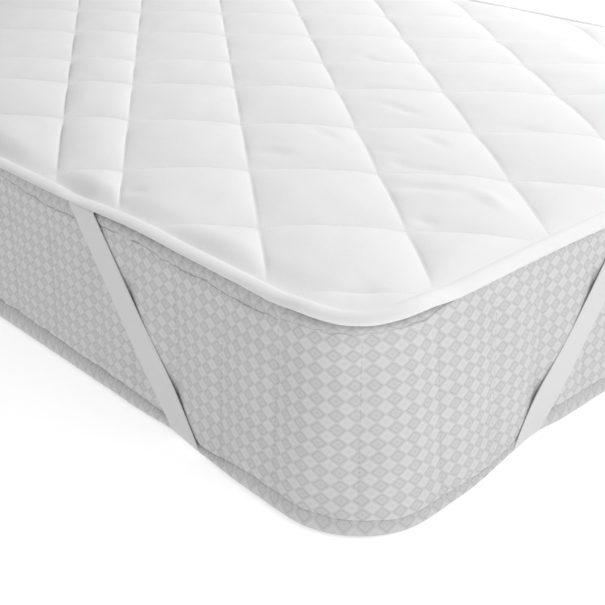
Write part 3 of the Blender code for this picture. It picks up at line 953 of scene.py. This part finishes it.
def seam_over_bottom_roll(outline):
    return seam_height(outline, "bottom seam", USUAL_BOTTOM_SEAM, BOTTOM_SEAM_HEIGHTS)


# How deep the seams over and under the border are drawn in, by reach from the near corner.
TOP_SEAM_DEPTHS = ((-0.60, 0.34), (-0.16, 0.34), (-0.05, 0.26), (0.03, 0.18), (0.08, 0.08),
                   (0.45, 0.10), (0.60, 0.80))
BOTTOM_SEAM_DEPTHS = ((-0.60, 0.60), (-0.20, 0.45), (-0.08, 0.22), (0.02, 0.16), (0.06, 0.14),
                      (0.40, 0.20), (0.60, 0.60))
USUAL_SEAM_DEPTH = 0.70
SEAM_DEPTH = 0.0046
SEAM_PULLS = ((0.30, 0.0026), (0.70, 0.0070))
# A seam drawn in at least this far has all of its gathers.
RAGGED_DEPTH = 0.0013


def seam_depth(outline, rows):
    """How far a seam is drawn in at the outline's places."""
    unevenness = 1.0 + uneven_along("seam depth", outline.places)
    return SEAM_DEPTH * unevenness * near_values(outline, rows, USUAL_SEAM_DEPTH)


def seam_pull(length):
    """How a seam's depth fades along the cloth beside it."""
    return sum(share * np.exp(-length / reach) for share, reach in SEAM_PULLS)


BORDER_HEIGHT, BORDER_BACK = 0.150, 0.0110
BORDER_SHARES = (0.0, 0.004, 0.008, 0.014, 0.024, 0.038, 0.056, 0.080, *np.linspace(0.11, 0.89, 15),
                 0.920, 0.944, 0.962, 0.976, 0.986, 0.992, 0.997, 1.0)
CREASE_PITCH, CREASE_SWAY, CREASE_TURN = 0.0695, 0.004, 5.0
# Upright stitched lines of the border at the near corner, by reach from its middle.
NEAR_CREASES = (-0.462, -0.390, -0.311, -0.260, -0.199, -0.135, -0.068, 0.003, 0.072, 0.143,
                0.209)
# Along each line the border is drawn in to a groove, and beside it the cloth lies lower. Both
# fade towards the border's seams.
GROOVE_WIDTH, GROOVE_DEPTH, GROOVE_AT_SEAM = 0.0060, 0.0013, 0.35
PILLOW_WIDTH, PILLOW_RISE, BODY_GROWTH = 0.032, 0.0014, 3.0
# Shares of the border's height over which the gathers at its seams fade.
TOP_GATHERS, FOOT_GATHERS = 0.045, 0.05
# The border stands out no more than this, and its top edge reaches up behind the roll.
BORDER_PROUD = 0.0002
TOP_OVERLAP, TOP_OVERLAP_SHARE = 0.0009, 0.015


def crease_places():
    """Where the border is stitched in upright lines, as places along the outline."""
    places = [CORNER_MIDDLES[0] + reach for reach in NEAR_CREASES]
    gap = PERIMETER - (places[-1] - places[0])
    count = round(gap / CREASE_PITCH)
    for step in range(1, count):
        sway = CREASE_SWAY * math.sin(CREASE_TURN * step) if 1 < step < count - 1 else 0.0
        places.append(places[len(NEAR_CREASES) - 1] + gap * step / count + sway)
    return np.sort(np.array(places) % PERIMETER)


CREASES = crease_places()


def border_points(places, shares):
    """Points of the border cloth at places, one row a place, for shares of its height."""
    outline = Outline(places)
    low, high = seam_over_bottom_roll(outline), seam_under_top_roll(outline)
    height = low[:, None] + (high - low)[:, None] * shares
    outward = -(seam_depth(outline, BOTTOM_SEAM_DEPTHS)[:, None]
                * seam_pull(shares * BORDER_HEIGHT)
                + seam_depth(outline, TOP_SEAM_DEPTHS)[:, None]
                * seam_pull((1 - shares) * BORDER_HEIGHT))
    away = np.abs(outline.places[:, None] - CREASES)
    away = np.minimum(away, PERIMETER - away).min(axis=1)[:, None]
    body = smooth(np.minimum(shares, 1 - shares) * 2 * BODY_GROWTH)
    outward -= (np.exp(-(away / GROOVE_WIDTH) ** 2) * GROOVE_DEPTH
                * (GROOVE_AT_SEAM + (1 - GROOVE_AT_SEAM) * body))
    outward -= (1.0 - smooth(away / PILLOW_WIDTH)) * body * PILLOW_RISE
    outward += uneven_along("border top", places)[:, None] * np.exp(-(1 - shares) / TOP_GATHERS)
    outward += uneven_along("border foot", places)[:, None] * np.exp(-shares / FOOT_GATHERS)
    height += TOP_OVERLAP * smooth((shares - 1.0) / TOP_OVERLAP_SHARE + 1.0)
    flat = outline.side_points(outward, height).reshape(-1, 3)
    outward += uneven("border", flat).reshape(height.shape) * body
    outward = np.minimum(outward, BORDER_PROUD)
    outward[:, (shares == 0.0) | (shares == 1.0)] = -BORDER_BACK
    return outline.side_points(outward, height)


# How the border cloth is pulled at the near corner: the width of a lozenge, how far its
# columns lean for each unit of height, and how far its rows ride up.
CLOTH_PULLS = (
    # reach   width   lean   rise
    (-0.45, 0.0142, 0.00, 0.0000),
    (-0.30, 0.0140, 0.02, 0.0000),
    (-0.20, 0.0138, 0.06, 0.0000),
    (-0.12, 0.0135, 0.09, 0.0000),
    (-0.08, 0.0142, 0.09, 0.0000),
    (-0.06, 0.0146, 0.09, 0.0010),
    (0.00, 0.0135, 0.07, 0.0038),
    (0.02, 0.0138, 0.06, 0.0045),
    (0.04, 0.0143, 0.02, 0.0035),
    (0.08, 0.0170, 0.00, 0.0010),
    (0.12, 0.0150, 0.00, 0.0000),
    (0.16, 0.0163, 0.00, 0.0000),
    (0.20, 0.0138, 0.00, 0.0000),
    (0.26, 0.0133, 0.00, 0.0000),
    (0.36, 0.0142, 0.00, 0.0000),
)
LOZENGE_REACH, LOZENGE_LEVEL = -0.0006, 0.1156
PULL_STEP = 0.004
RING_PITCH, CLOSE_RINGS = 0.0042, (-0.0044, -0.0022, 0.0, 0.0022, 0.0044)


def lozenges_across(places):
    """Lozenges counted along the outline, a whole number all round."""
    fine = np.arange(0.0, PERIMETER + PULL_STEP, PULL_STEP)
    outline = Outline(fine)
    reach, width, _, _ = np.array(CLOTH_PULLS).T
    near = (outline.corner == 0) & (outline.reach > reach[0]) & (outline.reach < reach[-1])
    usual = LOZENGE_WIDTH * (1.0 + uneven_along("lozenge width", fine))
    pitch = np.where(near, np.interp(outline.reach, reach, width), usual)
    count = np.concatenate([[0.0], np.cumsum(PULL_STEP / ((pitch[1:] + pitch[:-1]) / 2))])
    total = np.interp(PERIMETER, fine, count)
    start = np.interp(CORNER_MIDDLES[0] + LOZENGE_REACH, fine, count)
    return (np.interp(places, fine, count) - start) * round(total) / total


def border_map(places, points):
    """The cloth map of the border: lozenges across and up for each of its points."""
    outline = Outline(places)
    reach, _, lean, rise = np.array(CLOTH_PULLS).T
    lean = near_values(outline, np.column_stack([reach, lean]))
    rise = near_values(outline, np.column_stack([reach, rise]))
    above = points[..., 2] - (LOZENGE_LEVEL + rise[:, None])
    across = lozenges_across(places)[:, None] + lean[:, None] * above / LOZENGE_WIDTH
    values = np.stack([across, above / LOZENGE_HEIGHT], axis=2)
    last = values[:1] + (lozenges_across([PERIMETER])[0] - lozenges_across([0.0])[0], 0.0)
    return np.concatenate([values, last])


def border_places():
    """Places for the border's rings: even ones, and closer ones across each groove."""
    close = CREASES[:, None] + np.array(CLOSE_RINGS)
    places = even_places(RING_PITCH)
    apart = np.abs((places[:, None] - CREASES + PERIMETER / 2) % PERIMETER - PERIMETER / 2)
    even = places[apart.min(axis=1) > GROOVE_WIDTH]
    return np.sort(np.concatenate([even, close.ravel() % PERIMETER]))


BOTTOM_PANEL_SECTION = (
    # outward, height
    (-0.0200, 0.0016), (-0.0162, 0.0022), (-0.0162, 0.0060),
)
TOP_PANEL_SECTION = (
    (-0.0114, TOP_ROLL_LOW.z + 0.0096), (-0.0114, 0.1800), (-0.0160, 0.1803),
    (-0.0178, MATTRESS_TOP),
)


def make_mattress():
    """The mattress: its border cloth all round, and plain panels above and below."""
    places = border_places()
    outline = Outline(places)

    def rings(section):
        out, level = (np.tile(column, (len(places), 1)) for column in np.array(section).T)
        return outline.side_points(out, level)

    points = np.concatenate([rings(BOTTOM_PANEL_SECTION),
                             border_points(places, np.array(BORDER_SHARES)),
                             rings(TOP_PANEL_SECTION)], axis=1)
    return loft("mattress_cover", points, [BORDER_CLOTH, PANEL_CLOTH], False,
                border_map(places, points), caps=((0, False), (points.shape[1] - 1, True)))


ROLL_TOP = TOP_ROLL_HIGH.z - 0.0002
TOP_ROLL_SECTION = (
    # outward, share of the height from the seam to the top, share of the seam's depth
    (-0.0100, 0.10, 0.0), (-0.0050, 0.02, 0.6), (0.0000, 0.00, 1.0), (0.0000, 0.05, 0.82),
    (0.0000, 0.16, 0.56), (0.0000, 0.34, 0.24), (-0.0004, 0.50, 0.06), (-0.0015, 0.68, 0.0),
    (-0.0032, 0.86, 0.0), (-0.0058, 0.97, 0.0), (-0.0110, 1.00, 0.0),
)
BOTTOM_ROLL_SECTION = (
    (-0.0085, 0.00, 0.0), (-0.0110, 0.25, 0.0), (-0.0110, 0.90, 0.0), (-0.0050, 0.985, 0.6),
    (0.0000, 1.00, 1.0), (0.0000, 0.955, 0.50), (0.0000, 0.86, 0.15), (0.0000, 0.70, 0.0),
    (0.0000, 0.45, 0.0), (-0.0006, 0.25, 0.0), (-0.0022, 0.10, 0.0), (-0.0050, 0.02, 0.0),
)
ROLL_PITCH, ROLL_POINTS, ROLL_HEIGHT = 0.0036, 22, 0.011
# Puckers show on the outer side, and less where a roll is thinner than this.
PUCKER_BACK, PUCKER_FRONT, PUCKER_THICKNESS, THINNEST = 0.0060, 0.0050, 0.010, 0.15
# How far the top roll lies behind the border, by reach from the near corner.
TOP_ROLL_TUCK = ((-0.60, 0.0004), (-0.08, 0.0004), (0.02, 0.0), (0.09, 0.0026), (0.23, 0.0026),
                 (0.32, 0.0008), (0.50, 0.0))
NO_TUCK = ((0.0, 0.0), (0.1, 0.0))
TUCK_BACK, TUCK_FRONT = 0.0100, 0.0060


def level_at(height):
    return lambda outline: np.full(len(outline.places), height)


def make_roll(name, section, low, high, depths, tucks, phase, seed, puckers):
    """A cloth-covered roll sewn along an edge, puckered along its seam.

    low and high give the heights of its two sides at an outline's places.
    """
    places = even_places(ROLL_PITCH)
    outline = Outline(places)
    rows = np.array([*section, section[0]])
    length = path_lengths(rows[:, :2] * (1.0, ROLL_HEIGHT))
    at = np.arange(ROLL_POINTS) * length[-1] / ROLL_POINTS
    outward, share, drawn_in = (curve(np.column_stack([length, column]), at) for column in rows.T)
    bottom, top = low(outline), high(outline)
    thick = np.clip((top - bottom) / PUCKER_THICKNESS, THINNEST, 1.0)
    pucker = (puckers * uneven_along("roll", places, seed) * thick)[:, None]
    out = np.minimum(outward + pucker * smooth((outward + PUCKER_BACK) / PUCKER_FRONT),
                     BORDER_PROUD)
    out = (out - seam_depth(outline, depths)[:, None] * drawn_in
           - near_values(outline, tucks)[:, None] * smooth((outward + TUCK_BACK) / TUCK_FRONT))
    points = outline.side_points(out, bottom[:, None] + (top - bottom)[:, None] * share)
    around = np.append(at, length[-1]) / LOZENGE_HEIGHT
    across = lozenges_across(np.append(places, PERIMETER)) + phase
    # Both rolls use the jacquard darkened with painted shade.
    return loft(name, points, [ROLL_CLOTH_WITH_PAINTED_SHADE], True, plain_map(across, around))


# ---------------------------------------------------------------- straps
STRAP_WIDTH = 0.030
STRAP_THICKNESS = 0.0012
STRAP_TIP_INSET = 0.0145
STRAP_LEVEL_INSET = 0.0080
STRAP_TURN, STRAP_TURN_OUT = 0.0018, 0.0001
STRAP_ACROSS, STRAP_UNDER = 8, 12
TURN_STEPS, SIDE_STEPS, FOOT_STEPS = 6, 24, 8
# A strap widens along the outline as it slants, from this share of its length on, and its
# long edges are this share of it thick.
STRAP_SLANTS_FROM, STRAP_EDGE = 0.55, 0.75
STRAP_STRETCH, STRAP_SHARP = 1.15, math.radians(50)


def arc(outward, height, radius, first, last, steps):
    """Rows of (outward, height, normal angle) round a quarter turn."""
    angle = np.linspace(first, last, steps + 1)
    return np.column_stack([outward + radius * np.cos(angle), height + radius * np.sin(angle),
                            angle])


def strap_route():
    """Half a strap in section, tip to foot: rows of (outward, height, normal angle)."""
    roll_top = TOP_ROLL_HEIGHT + TOP_ROLL_RADIUS
    start = roll_top - STRAP_TURN
    share = np.arange(1, SIDE_STEPS) / SIDE_STEPS
    return np.vstack([
        [(-STRAP_TIP_INSET, roll_top, math.pi / 2), (-STRAP_LEVEL_INSET, roll_top, math.pi / 2)],
        arc(STRAP_TURN_OUT - STRAP_TURN, start, STRAP_TURN, math.pi / 2, 0.0, TURN_STEPS),
        np.column_stack([STRAP_TURN_OUT * (1 - share) ** 2,
                         start + (BOTTOM_ROLL_HEIGHT - start) * share, 0.0 * share]),
        arc(-BOTTOM_ROLL_RADIUS, BOTTOM_ROLL_HEIGHT, BOTTOM_ROLL_RADIUS, 0.0, -math.pi / 2,
            FOOT_STEPS)])


def strap_leg(corner_index, tip, foot, direction):
    """Points round the section of one leg, tip to foot, one row a step along it."""
    outward, height, angle = strap_route().T
    length = path_lengths(np.column_stack([outward, height]))
    slant = (tip - foot) / length[-1]
    share = length / length[-1]
    half_tip = STRAP_WIDTH / 2 * math.hypot(1.0, slant)
    half_foot = STRAP_WIDTH / 2 * math.sqrt(2.0)
    half = half_tip + (half_foot - half_tip) * smooth((share - STRAP_SLANTS_FROM)
                                                      / (1.0 - STRAP_SLANTS_FROM))
    middle = tip + (foot - tip) * share
    sides = np.linspace(-1.0, 1.0, STRAP_ACROSS + 1)
    reach = direction * (middle[:, None] + half[:, None] * sides)
    outline = Outline((CORNER_MIDDLES[corner_index] + reach).ravel())

    def layer(distance):
        out, level = (np.repeat(values, len(sides))[:, None]
                      for values in (outward + distance * np.cos(angle),
                                     height + distance * np.sin(angle)))
        return outline.side_points(out, level).reshape(*reach.shape, 3)

    thick = np.ones(len(sides))
    thick[[0, -1]] = STRAP_EDGE
    inner = layer(GAP)
    outer = inner + (layer(GAP + STRAP_THICKNESS) - inner) * thick[None, :, None]
    return np.concatenate([inner, outer[:, ::-1]], axis=1)


def make_strap(corner_name, tip_before, foot_before, tip_after, foot_after):
    """A strap, and its length: one leg, across under the corner, and the other leg."""
    index = corner_number(corner_name)
    first = strap_leg(index, tip_before, foot_before, -1)
    last = strap_leg(index, tip_after, foot_after, 1)[::-1]
    share = (np.arange(1, STRAP_UNDER) / STRAP_UNDER)[:, None, None]
    points = np.concatenate([first, first[-1] + (last[0] - first[-1]) * share, last])
    rows, columns = points.shape[:2]
    along = path_lengths(points[:, STRAP_ACROSS // 2])
    across = np.linspace(0.0, STRAP_WIDTH, STRAP_ACROSS + 1)
    values = plain_map(along, np.concatenate([across, across[::-1], [0.0]]))
    faces, corners = grid(rows, columns, False, True)
    ends = [list(range(columns)), [(rows - 1) * columns + c for c in reversed(range(columns))]]
    mapped = np.vstack([values[corners].reshape(-1, 2), np.zeros((2 * columns, 2))])
    mesh = new_mesh("strap_elastic_" + corner_name, points, faces.tolist() + ends, mapped)
    mesh_data = bmesh.new()
    mesh_data.from_mesh(mesh)
    bmesh.ops.recalc_face_normals(mesh_data, faces=mesh_data.faces)
    mesh_data.to_mesh(mesh)
    mesh_data.free()
    mesh.set_sharp_from_angle(angle=STRAP_SHARP)
    return new_object("strap_elastic_" + corner_name, mesh, [STRAP_ELASTIC]), along[-1]


# ---------------------------------------------------------------- stitches
def unit(vectors):
    return vectors / np.linalg.norm(vectors, axis=-1, keepdims=True)


UP = np.array((0.0, 0.0, 1.0))
# How far from its middle, as a share of half its length, a stitch starts to taper.
STITCH_BODY = 0.55


def make_stitches(name, low, high, outs, length, radius, raised, material):
    """Small stitches as one mesh, each a short thread with pointed ends.

    Each lies halfway between its low and high points, raised towards outs.
    """
    runs = unit(high - low)
    outs = unit(outs - runs * (outs * runs).sum(axis=-1, keepdims=True))
    centres = (low + high) / 2 + outs * raised
    sides = np.cross(runs, outs)
    half = length / 2
    rings = [centres - runs * half - outs * radius]
    for share in (-STITCH_BODY, STITCH_BODY):
        middle = centres + runs * half * share
        rings += [middle + sides * radius, middle + outs * radius, middle - sides * radius,
                  middle - outs * radius]
    rings.append(centres + runs * half - outs * radius)
    pattern = []
    for step in range(4):
        after = (step + 1) % 4
        pattern += [(0, 1 + after, 1 + step), (1 + step, 1 + after, 5 + after),
                    (1 + step, 5 + after, 5 + step), (9, 5 + step, 5 + after)]
    faces = np.arange(len(centres))[:, None, None] * len(rings) + np.array(pattern)
    mesh = new_mesh(name, np.stack(rings, axis=1), faces.reshape(-1, 3).tolist())
    return new_object(name, mesh, [material])


QUILT_STITCH, QUILT_STITCH_LENGTH, QUILT_THREAD = 0.0034, 0.0027, 0.00022
QUILT_REACH, QUILT_STITCH_INSET = 2.6, 0.0125
BINDING_STITCH_LINE = ((-0.0080, 0.1884, 0.0),)
BINDING_STITCH_LENGTH, BINDING_THREAD = 0.0022, 0.00022
BORDER_STITCH, BORDER_STITCH_LENGTH, BORDER_THREAD = 0.0042, 0.0030, 0.00020
BORDER_STITCH_SHARES = (0.045, 0.965)
STITCH_RAISED = 0.0001


def stitch_quilting():
    """Stitches along every quilting line."""
    ends = []
    steps = np.arange(-QUILT_REACH, QUILT_REACH, QUILT_STITCH)
    for family in QUILT_FAMILIES:
        along, across = quilt_frame(family)
        for row in quilt_lines(family):
            def on_line(run):
                return (NEAR_CORNER + run[:, None] * along
                        + line_place(row, run)[:, None] * across)
            inset, _ = inset_and_place(on_line(steps))
            run = steps[inset > QUILT_STITCH_INSET]
            if len(run):
                plan = [on_line(run + sign * QUILT_STITCH_LENGTH / 2) for sign in (-1, 1)]
                ends.append([np.column_stack([end, pad_height(end)]) for end in plan])
    low, high = (np.concatenate(points) for points in zip(*ends))
    return make_stitches("pad_stitching", low, high, UP, QUILT_STITCH_LENGTH, QUILT_THREAD,
                         QUILT_THREAD * 0.5, THREAD)


def stitch_binding():
    """Stitches along the binding's inner edge."""
    places = even_places(BINDING_STITCH) + BINDING_STITCH / 2
    centres, ahead = (binding_points(places + step, BINDING_STITCH_LINE)[:, 0]
                      for step in (0.0, BINDING_STITCH / 2))
    return make_stitches("binding_stitching", centres * 2 - ahead, ahead, UP,
                         BINDING_STITCH_LENGTH, BINDING_THREAD, STITCH_RAISED, THREAD)


def stitch_border():
    """Stitches up every upright line of the border."""
    share = np.arange(*BORDER_STITCH_SHARES, BORDER_STITCH / BORDER_HEIGHT)
    half = BORDER_STITCH_LENGTH / 2 / BORDER_HEIGHT
    low, high = (border_points(CREASES, share + step).reshape(-1, 3) for step in (-half, half))
    normal = Outline(CREASES).normal
    outs = np.repeat(np.column_stack([normal, np.zeros(len(normal))]), len(share), axis=0)
    return make_stitches("border_stitching", low, high, outs, BORDER_STITCH_LENGTH,
                         BORDER_THREAD, STITCH_RAISED, GREY_THREAD)


# ---------------------------------------------------------------- build the pieces
def settle(piece, node):
    """Put a piece on the one body, in place of its plain solid."""
    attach(piece, "root")
    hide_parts(node)


pad = make_pad()
settle(pad, "quilted_pad")

binding = make_binding()
settle(binding, "edge_binding")

mattress = make_mattress()
settle(mattress, "mattress_body")

top_roll = make_roll("mattress_roll_top", TOP_ROLL_SECTION, seam_under_top_roll,
                     level_at(ROLL_TOP), TOP_SEAM_DEPTHS, TOP_ROLL_TUCK,
                     phase=0.3, seed=20, puckers=1.2)
settle(top_roll, "mattress_top_roll")

bottom_roll = make_roll("mattress_roll_bottom", BOTTOM_ROLL_SECTION,
                        level_at(BOTTOM_ROLL_LOW.z), seam_over_bottom_roll,
                        BOTTOM_SEAM_DEPTHS, NO_TUCK, phase=0.4, seed=30, puckers=0.35)
settle(bottom_roll, "mattress_bottom_roll")

for row in STRAPS:
    strap, strap_length = make_strap(*row)
    settle(strap, "strap_" + row[0])

for stitches, slot in ((stitch_quilting(), "pad_cloth"), (stitch_binding(), "binding_tape"),
                       (stitch_border(), "border_cloth")):
    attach(stitches, "root")


# ---------------------------------------------------------------- stage
FLOOR_HALF, FLOOR_LEVEL = 12.0, -0.0004
FLOOR_PAINT = {"Base Color": grey(0.92), "Roughness": 0.9, "Emission Color": grey(1.0),
               "Emission Strength": 0.42}


def make_floor():
    corners = [(x * FLOOR_HALF, y * FLOOR_HALF, FLOOR_LEVEL)
               for x, y in ((-1, -1), (1, -1), (1, 1), (-1, 1))]
    nodes = Nodes("floor_paint")
    for socket, value in FLOOR_PAINT.items():
        nodes.feed(nodes.shader.inputs[socket], value)
    new_object("floor", new_mesh("floor", corners, [(0, 1, 2, 3)]), [nodes.material])


LIGHTS = (
    # name   x       y       z      target x  y    side    power
    ("key",   1.350, -0.750, 1.360, -0.14, -0.90, 0.72, 21.4),
    ("fill", -0.435, -1.630, 0.810, -0.20, -0.75, 0.60, 2.7),
)
WORLD_STRENGTH = 0.558


def make_light():
    world = bpy.data.worlds.new("studio")
    world.use_nodes = True
    background = world.node_tree.nodes["Background"]
    background.inputs["Color"].default_value = grey(1.0)
    background.inputs["Strength"].default_value = WORLD_STRENGTH
    bpy.context.scene.world = world
    for name, x, y, z, to_x, to_y, side, power in LIGHTS:
        light = bpy.data.lights.new(name, "AREA")
        light.size, light.energy = side, power
        lamp = bpy.data.objects.new(name, light)
        lamp.location = (x, y, z)
        towards = Vector((to_x, to_y, MATTRESS_TOP)) - lamp.location
        lamp.rotation_euler = towards.to_track_quat("-Z", "Y").to_euler()
        bpy.context.scene.collection.objects.link(lamp)


CAMERA_PLACE, CAMERA_LENS, CAMERA_SENSOR = (-0.9384, -1.4600, 0.5541), 66.60, 36.0
CAMERA_YAW, CAMERA_PITCH, CAMERA_ROLL = (math.radians(turn) for turn in (46.671, 27.043, -0.125))


def make_camera():
    camera_data = bpy.data.cameras.new("camera")
    camera_data.sensor_width = CAMERA_SENSOR
    camera_data.lens = CAMERA_LENS
    camera = bpy.data.objects.new("camera", camera_data)
    camera.location = CAMERA_PLACE
    camera.rotation_euler = Euler((math.pi / 2 - CAMERA_PITCH, CAMERA_ROLL,
                                   CAMERA_YAW - math.pi / 2), "XYZ")
    bpy.context.scene.collection.objects.link(camera)
    bpy.context.scene.camera = camera


make_floor()
make_light()
make_camera()
bpy.context.scene.view_settings.view_transform = "Standard"
